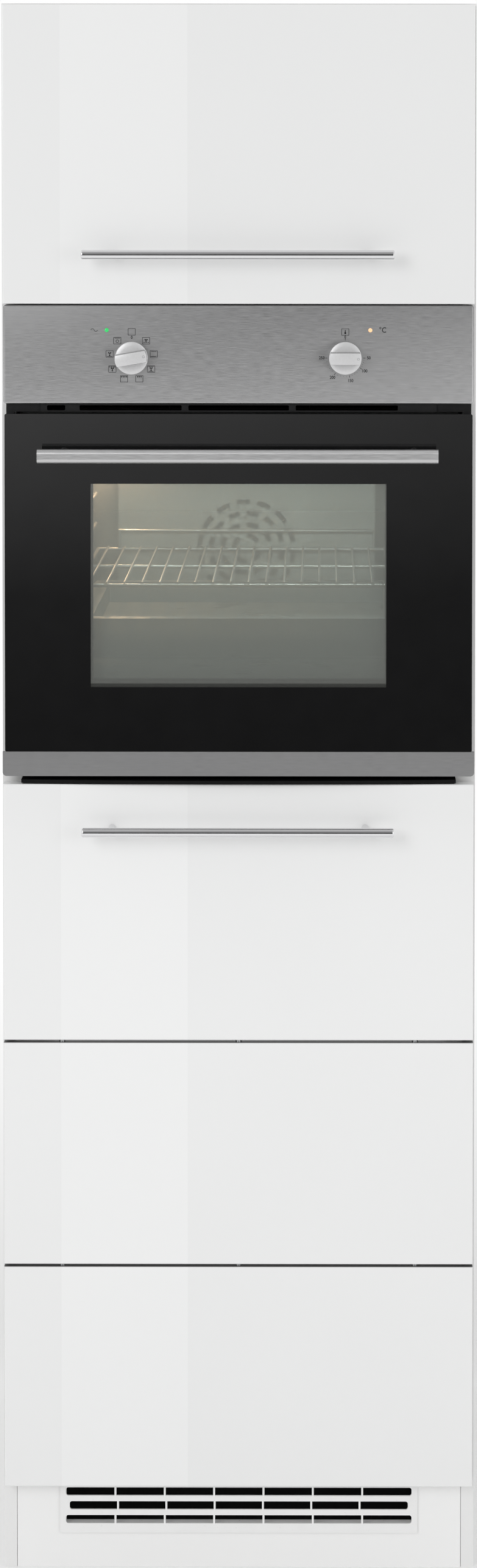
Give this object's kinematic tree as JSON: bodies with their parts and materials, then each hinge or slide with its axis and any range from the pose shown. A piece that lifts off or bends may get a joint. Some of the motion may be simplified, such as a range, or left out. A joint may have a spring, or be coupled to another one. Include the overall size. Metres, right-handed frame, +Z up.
{
  "type": "tall oven housing unit",
  "caption": "Tall white kitchen cabinet with a built-in oven behind a drop-down glass door, a lift-up flap above, a side-hinged door below and a vented plinth.",
  "frame": {"origin": "on the floor, in the middle of the overall width and depth", "axes": "+X to the right seen from the front, +Y to the back, +Z up; the doors face -Y"},
  "size_m": [0.6, 0.633, 2],
  "materials": {
    "white_gloss": "high-gloss white foil on board",
    "white_foil": "satin white foil on chipboard",
    "board": "matt white melamine on chipboard",
    "hardboard": "white lacquered hardboard",
    "white_plastic": "satin moulded plastic",
    "zinc": "zinc-plated or nickel-plated",
    "buffer": "soft clear rubber",
    "galvanised": "galvanised sheet",
    "enamel": "dark vitreous enamel",
    "wool": "mineral wool",
    "seal": "braided glass-fibre and silicone seal",
    "steel": "horizontally brushed stainless steel",
    "switch_plastic": "moulded",
    "brass": "plain",
    "signal": "tinted lens",
    "black_metal": "matt black paint",
    "chrome": "polished chrome plate",
    "ceramic": "glazed ceramic and clear glass",
    "heater": "dark oxidised heating tube",
    "black_plastic": "moulded",
    "knob": "satin metallic grey",
    "black_glass": "black-printed float glass with a clear window",
    "clear_glass": "clear float glass"
  },
  "bodies": {
    "housing": {"side_panel_left": "white_foil", "side_panel_right": "white_foil", "top_panel": "board", "compartment_floor": "board", "oven_shelf": "board", "bottom_panel": "board", "upper_back_panel": "hardboard", "rear_rails": "board", "plinth_board": "white_foil", "plinth_grille": "white_plastic", "joining_fittings": "zinc", "lower_hinge_arms": "zinc", "flap_hinge_arms": "zinc", "door_buffers": "buffer", "oven_casing": "galvanised", "cavity_liner": "enamel", "cavity_insulation": "wool", "cavity_front_frame": "enamel", "door_seal": "seal", "control_fascia": "steel", "control_tray": "galvanised", "selector_switch": "switch_plastic", "thermostat": "brass", "signal_lights": "signal", "vent_trim": "black_metal", "side_racks": "chrome", "oven_lamp": "ceramic", "fan_cover": "enamel", "fan_motor": "zinc", "heating_elements": "heater", "blower_housing": "galvanised", "terminal_block": "black_plastic", "air_deflector": "black_metal", "oven_hinge_receivers": "zinc", "oven_fixing_screws": "zinc"},
    "function_control": {"function_knob": "knob", "function_spindle": "zinc"},
    "temperature_control": {"temperature_knob": "knob", "temperature_spindle": "zinc"},
    "oven_shelf_grid": {"wire_shelf": "chrome"},
    "oven_tray": {"baking_tray": "enamel"},
    "convection_fan": {"fan_impeller": "galvanised"},
    "cooling_blower": {"blower_wheel": "black_plastic"},
    "oven_door": {"oven_door_glass": "black_glass", "inner_door_glass": "clear_glass", "oven_door_frame": "enamel", "oven_door_strip": "steel", "oven_handle": "steel", "oven_hinge_pins": "chrome"},
    "flap": {"flap_panel": "white_gloss", "flap_hinge_cups": "zinc", "upper_handle": "chrome"},
    "lower_door": {"lower_front_top": "white_gloss", "lower_front_middle": "white_gloss", "lower_front_bottom": "white_gloss", "front_connectors": "zinc", "lower_hinge_cups": "zinc", "lower_handle": "chrome"}
  },
  "joints": [
    {"name": "flap_lift", "type": "hinge", "parent": "housing", "child": "flap", "pos_m": [0, -0.2645, 1.9908], "axis": [-1, 0, 0], "range_deg": [0, 95]},
    {"name": "lower_door_swing", "type": "hinge", "parent": "housing", "child": "lower_door", "pos_m": [0.2903, -0.2645, 0.562], "axis": [0, 0, 1], "range_deg": [0, 95]},
    {"name": "oven_door_drop", "type": "hinge", "parent": "housing", "child": "oven_door", "pos_m": [0, -0.2655, 1.031], "axis": [1, 0, 0], "range_deg": [0, 90]},
    {"name": "function_turn", "type": "hinge", "parent": "housing", "child": "function_control", "pos_m": [-0.1345, -0.2745, 1.553], "axis": [0, 1, 0], "continuous": true},
    {"name": "temperature_turn", "type": "hinge", "parent": "housing", "child": "temperature_control", "pos_m": [0.1345, -0.2745, 1.553], "axis": [0, 1, 0], "range_deg": [-90, 180]},
    {"name": "shelf_slide", "type": "slide", "parent": "housing", "child": "oven_shelf_grid", "axis": [0, -1, 0], "range_m": [0, 0.015]},
    {"name": "tray_slide", "type": "slide", "parent": "housing", "child": "oven_tray", "axis": [0, -1, 0], "range_m": [0, 0.015]},
    {"name": "fan_spin", "type": "hinge", "parent": "housing", "child": "convection_fan", "pos_m": [0, 0.1555, 1.257], "axis": [0, 1, 0], "continuous": true},
    {"name": "blower_spin", "type": "hinge", "parent": "housing", "child": "cooling_blower", "pos_m": [0, -0.0495, 1.5295], "axis": [1, 0, 0], "continuous": true}
  ]
}
